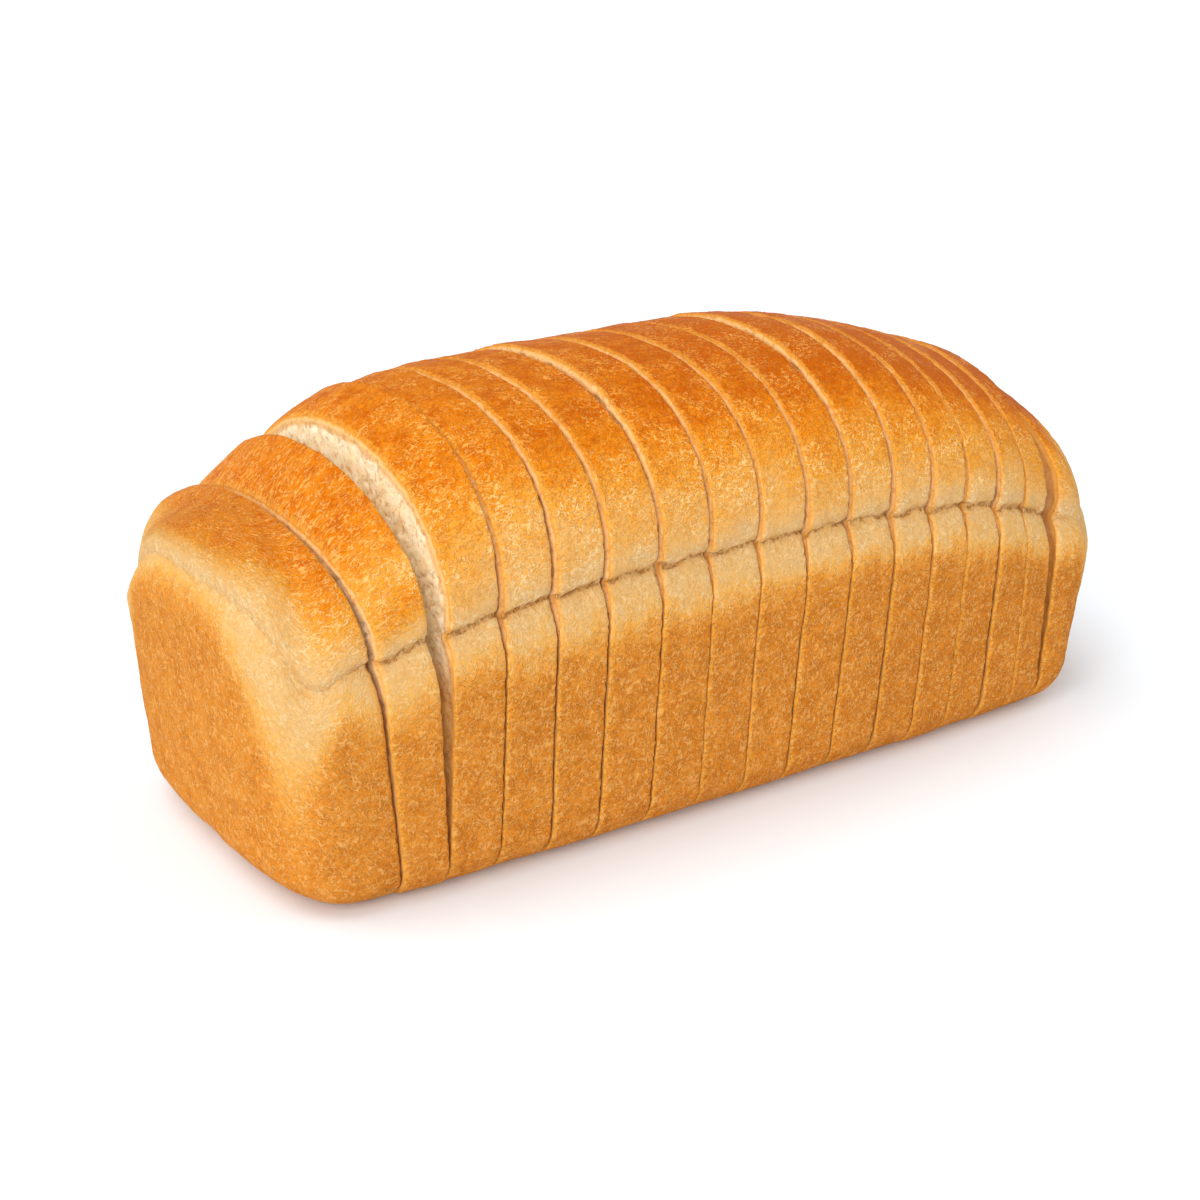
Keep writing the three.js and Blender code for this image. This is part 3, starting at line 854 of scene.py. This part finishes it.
def make_crust():
    """The baked outside of white bread: flour and starch browned on the crown by dry heat, a dry
    browned skin where it touched the tin, and a pale band of late-set dough along the crease.
    The eye reads it by its mottled golden orange, a faint broken shine on the crown, none on the
    tin sides, and the fine curled fibres and wrinkles of its skin. Painted light is in it too:
    painted highlights on the fibres and the rims of the cuts, a painted sheen on the near end's
    crown, and painted shade in the wrinkles, the crease and the lip above it."""
    material, add = new_material("tin-baked crust")
    whole = add("TexCoord").outputs["Object"]
    above, baked, edge, line, fold = (
        add("Attribute", attribute_name=name).outputs["Fac"]
        for name in ("above", "baked", "edge", "line", "fold")
    )
    place = add("Attribute", attribute_name="place").outputs["Vector"]
    on_crown = add("MapRange", [above, -0.3, 0.6], **SMOOTH)
    toast_and_shade = add("MapRange", [baked, 0.1, 0.75], **SMOOTH)

    fibres, wrinkles = add_threads(add, place, on_crown)
    rough = {"Vector": whole, "Roughness": 0.6}
    mottle = add("TexNoise", {**rough, "Scale": per_metre(5.0), "Detail": 3.0})
    grain = add("TexNoise", {**rough, "Scale": per_metre(1.1), "Detail": 2.0})
    patch = add("TexNoise", {"Vector": whole, "Scale": per_metre(9.0), "Detail": 1.0})

    shade = baked
    for uneven, amount in ((mottle, 0.6), (grain, 0.35)):
        middle = add("Math", [uneven, 0.5], **MINUS)
        shade = add("Math", [middle, amount, shade], **TIMES_PLUS)
    crown = add("ValToRGB", [shade], stops=CROWN_BROWNS)
    side = add("ValToRGB", [shade], stops=SIDE_BROWNS)
    colour = add("Mix", [on_crown, side, crown], **PAINT)

    # The pale band is drawn out upwards in tan and cream
    pull = add("VectorMath", [place, (1.0, 0.2, 1.0)], **TIMES)
    pulled = add("TexNoise", {"Vector": pull, "Scale": per_metre(1.2), "Detail": 2.0})
    tan = add("MapRange", [pulled, 0.48, 0.62, 0.0, 0.5], **SMOOTH)
    pale_band = add("Math", [1.0, toast_and_shade], **MINUS)
    tan = add("Math", [tan, pale_band], **TIMES)
    colour = add("Mix", [tan, colour, "#d9a45a"], **PAINT)

    # Just above the crease the lip of the crown is painted a duller tan: painted shade under the
    # fold
    lip = add("MapRange", [line, 4.2, 0.4, 0.0, 0.45], **SMOOTH)
    above_line = add("MapRange", [line, -0.4, 0.3], **SMOOTH)
    mottled = add("MapRange", [mottle, 0.38, 0.56, 0.2, 1.0], **SMOOTH)
    for share in (above_line, mottled, fold):
        lip = add("Math", [lip, share], **TIMES)
    colour = add("Mix", [lip, colour, "#bf863c"], **PAINT)

    # A lighter rim along each cut, uneven as the crust broke: painted highlight where the cut
    # edge of the crust catches the light, over the paler crust of the cut
    grainy = add("Math", [grain, 0.5], **MINUS)
    broke = add("Math", [grainy, 3.0, edge], **TIMES_PLUS)
    rim = add("MapRange", [broke, 1.3, 0.1, 0.0, 0.55], **SMOOTH)
    colour = add("Mix", [rim, colour, "#f3ab40"], **PAINT)

    # Fine wrinkles are painted darker, partly as painted shade in their grooves; fewer show in
    # the painted sheen on the near end's crown
    along = add("SeparateXYZ", [whole]).outputs["X"]
    painted_sheen = add("MapRange", [along, *NEAR_SHEEN_ZONE, 0.0], **SMOOTH)
    creased = add("MapRange", [painted_sheen, 0.0, NEAR_SHEEN_ZONE[-1], 0.48, 0.25])
    wrinkle_share = add("Math", [wrinkles, creased], **TIMES)
    # The wrinkles' darker colours: partly painted shade in their grooves, partly a browner skin
    deep = add("Mix", [on_crown, "#b46820", "#cb6206"], **PAINT)
    deep = add("Mix", [toast_and_shade, "#cf9850", deep], **PAINT)
    colour = add("Mix", [wrinkle_share, colour, deep], **PAINT)

    # Fibres are painted light, partly as painted highlights on their raised threads over a paler
    # skin: all over the sides, in patches on the crown, all over the painted sheen of its near end
    thinned = add("MapRange", [baked, 0.6, 1.0, 1.0, 0.6], **SMOOTH)
    clustered = add("MapRange", [patch, 0.42, 0.6, 0.28, 1.0], **SMOOTH)
    clustered = add("Math", [clustered, thinned], **TIMES)
    clustered = add("Math", [clustered, painted_sheen], **LARGER)
    off_crown = add("Math", [0.75, on_crown], **MINUS)
    showing = add("Math", [clustered, off_crown], **LARGER)
    by_part = add("MapRange", [on_crown, 0.0, 1.0, 0.6, 0.9])
    by_toast = add("MapRange", [toast_and_shade, 0.0, 1.0, 0.6, 1.0])
    fibre_share = fibres
    for share in (showing, by_part, by_toast):
        fibre_share = add("Math", [fibre_share, share], **TIMES)
    golden = add("Mix", [add("MapRange", [baked, 0.45, 0.8]), "#ffd080", "#ffbc60"], **PAINT)
    # In the painted sheen the light fibres are paler and pinker, as painted highlight
    sheen_tint = add("Math", [painted_sheen, 0.4], **TIMES)
    golden = add("Mix", [sheen_tint, golden, "#ffc987"], **PAINT)
    light = add("Mix", [on_crown, "#f4bc70", golden], **PAINT)
    light = add("Mix", [toast_and_shade, "#f6dcaa", light], **PAINT)
    colour = add("Mix", [fibre_share, colour, light], **PAINT)

    # The crease is a thin, ragged, broken brown line: painted shade in the fold, over crust folded
    # under it
    ragged = {"Vector": place, "Scale": per_metre(0.8), "Detail": 2.0, "Roughness": 0.7}
    stray = add("Math", [add("TexNoise", ragged), 0.5], **MINUS)
    strayed = add("Math", [stray, 2.6, line], **TIMES_PLUS)
    off_line = add("Math", [strayed], operation="ABSOLUTE")
    slit = add("MapRange", [off_line, 0.42, 0.05, 0.0, 0.7], **SMOOTH)
    broken = add("MapRange", [grain, 0.35, 0.55, 0.25, 1.0], **SMOOTH)
    for share in (broken, fold):
        slit = add("Math", [slit, share], **TIMES)
    colour = add("Mix", [slit, colour, "#955a16"], **PAINT)

    # Fibres stand up from a grainy skin, and wrinkles and the crease lie deeper, in millimetres
    height = add("Math", [fibres, 0.12], **TIMES)
    height = add("Math", [wrinkles, -0.1, height], **TIMES_PLUS)
    height = add("Math", [grain, 0.5, height], **TIMES_PLUS)
    relief = add("MapRange", [toast_and_shade, 0.0, 1.0, 0.5, 1.0])
    height = add("Math", [height, relief], **TIMES)
    height = add("Math", [slit, -0.12, height], **TIMES_PLUS)
    bump = add("Bump", {"Strength": 1.0, "Distance": MM, "Height": height})
    shine = add("Math", [on_crown, baked], **TIMES)
    dull = add("MapRange", [shine, 0.0, 1.0, 0.75, 0.4])
    values = {"Base Color": colour, "Roughness": dull, "Specular IOR Level": 0.02, "Normal": bump}
    add("OutputMaterial", {"Surface": add("BsdfPrincipled", values)})
    return material


def make_crumb():
    """The cut inside of white bread: a soft, open foam of pale wheat dough, browned for a
    millimetre or so under its crust. The eye reads it by its cream colour, its matt look and
    the small dark pores in it, painted darker as shade in their hollows. It is painted golden
    near the crust and below the crease, partly as the warm shade of the narrow gaps, and the far
    heel's cut face is painted darker as shade."""
    material, add = new_material("white bread crumb")
    whole = add("TexCoord").outputs["Object"]
    above, depth, baked = (
        add("Attribute", attribute_name=name).outputs["Fac"] for name in ("above", "depth", "baked")
    )
    uneven = add("TexNoise", {"Vector": whole, "Scale": per_metre(3.0), "Detail": 3.0})
    small = {"Vector": whole, "Scale": per_metre(1.4), "Detail": 2.0, "Roughness": 0.6}
    pores = add("TexNoise", small)
    pale = add("MapRange", [uneven, 0.35, 0.65], **SMOOTH)
    cream = add("Mix", [pale, "#ffe6ba", "#fff2d4"], **PAINT)
    hole = add("MapRange", [pores, 0.46, 0.36, 0.0, 0.48], **SMOOTH)
    # Below the crease and near the crust the crumb is painted golden: partly the browning under the
    # tin crust, partly painted warm shade, as these faces show deep in the narrow gaps
    below = add("MapRange", [above, -4.0, -18.0], **SMOOTH)
    cream = add("Mix", [below, cream, "#f2c47e"], **PAINT)
    outer = add("Mix", [below, "#ecbc7c", "#eab062"], **PAINT)
    off_level = add("Math", [uneven, 0.5], **MINUS)
    stray = add("Math", [off_level, 1.4, depth], **TIMES_PLUS)
    deep = add("MapRange", [stray, 1.7, 3.2], **SMOOTH)
    colour = add("Mix", [deep, outer, cream], **PAINT)
    toast = add("MapRange", [stray, 0.75, 0.3, 0.0, 0.85], **SMOOTH)
    brown = add("Mix", [below, "#eba23e", "#dc9844"], **PAINT)
    colour = add("Mix", [toast, colour, brown], **PAINT)
    # Pores painted a darker tan: painted shade in their hollows
    colour = add("Mix", [hole, colour, "#c8863e"], **PAINT)
    # Painted shade on the far heel's cut face, which lies in the dark gap behind slice_16
    colour = add("Mix", [baked, colour, "#cb8a3e"], **PAINT)
    height = add("Math", [uneven, 0.2], **TIMES)
    height = add("Math", [pores, 0.45, height], **TIMES_PLUS)
    bump = add("Bump", {"Strength": 0.6, "Distance": MM, "Height": height})
    values = {"Base Color": colour, "Roughness": 0.85, "Specular IOR Level": 0.04, "Normal": bump}
    add("OutputMaterial", {"Surface": add("BsdfPrincipled", values)})
    return material


def make_floor_paint():
    """A sheet of white acrylic lit from below: it melts into the white room behind it, and keeps
    only the loaf's soft contact shadow."""
    material, add = new_material("backlit white acrylic")
    values = {
        "Base Color": "#f0f6fb",
        "Roughness": 0.9,
        "Emission Color": "#ffffff",
        "Emission Strength": FLOOR_GLOW,
        "Specular IOR Level": 0.1,
    }
    add("OutputMaterial", {"Surface": add("BsdfPrincipled", values)})
    return material


# The loaf -----------------------------
def make_pieces():
    """The name and mesh of every piece, from the near end to the far one, and how far all move
    along to stand over their solids, going by slice_03, which stands upright."""
    materials = [make_crust(), make_crumb()]
    solids_low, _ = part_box("slice_03")
    x = -sum(piece[1] + piece[2] for piece in PIECES) / 2
    made = []
    for number, piece in enumerate(PIECES):
        name, thickness, gap = piece[:3]
        if name == "heel_near":
            cut_x = x + thickness
            body = make_heel(piece, cut_x, -1, NEAR_END, NEAR_HEEL_STAGES, NEAR_HEEL_STEPS, number)
        elif name == "heel_far":
            body = make_heel(piece, x, 1, FAR_END, FAR_HEEL_STAGES, FAR_HEEL_STEPS, number)
        else:
            body = make_slice(piece, x, number)
        if name == "slice_03":
            shift = solids_low.x - x * MM
        made.append((name, body.mesh("baked_" + name, materials)))
        x += thickness + gap
    return made, shift


def add_loaf():
    made, shift = make_pieces()
    for name, data in made:
        thing = bpy.data.objects.new("baked_" + name, data)
        bpy.context.scene.collection.objects.link(thing)
        low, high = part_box(name)
        across = [point.co.y for point in data.vertices]
        aside = (low.y + high.y) / 2 - (min(across) + max(across)) / 2
        data.transform(Matrix.Translation((shift, aside, 0)))
        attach(thing, "root")
        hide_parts(name)


def add_floor():
    data = bpy.data.meshes.new("floor")
    half = FLOOR_HALF_SIZE
    points = [(-half, -half, 0), (half, -half, 0), (half, half, 0), (-half, half, 0)]
    data.from_pydata(points, [], [(0, 1, 2, 3)])
    data.materials.append(make_floor_paint())
    floor = bpy.data.objects.new("floor", data)
    bpy.context.scene.collection.objects.link(floor)


# Camera and light ---------------------
def add_camera():
    data = bpy.data.cameras.new("camera")
    data.lens = CAMERA_LENS
    camera = bpy.data.objects.new("camera", data)
    camera.location = [value * MM for value in CAMERA_AT]
    camera.rotation_euler = (math.radians(CAMERA_TILT), 0, math.radians(CAMERA_TURN))
    bpy.context.scene.collection.objects.link(camera)
    bpy.context.scene.camera = camera


def add_lamp(name, way, width, strength):
    data = bpy.data.lights.new(name, "SUN")
    data.angle = math.radians(width)
    data.energy = strength
    lamp = bpy.data.objects.new(name, data)
    lamp.rotation_euler = Vector(way).to_track_quat("Z", "Y").to_euler()
    bpy.context.scene.collection.objects.link(lamp)


def add_light():
    scene = bpy.context.scene
    world = bpy.data.worlds.new("white room")
    scene.world = world
    world.use_nodes = True
    background = world.node_tree.nodes["Background"]
    background.inputs["Color"].default_value = (1, 1, 1, 1)
    background.inputs["Strength"].default_value = ROOM_GLOW
    for lamp in LAMPS:
        add_lamp(*lamp)
    scene.view_settings.view_transform = "Standard"
    scene.view_settings.look = "None"


add_camera()
add_light()
add_floor()
add_loaf()
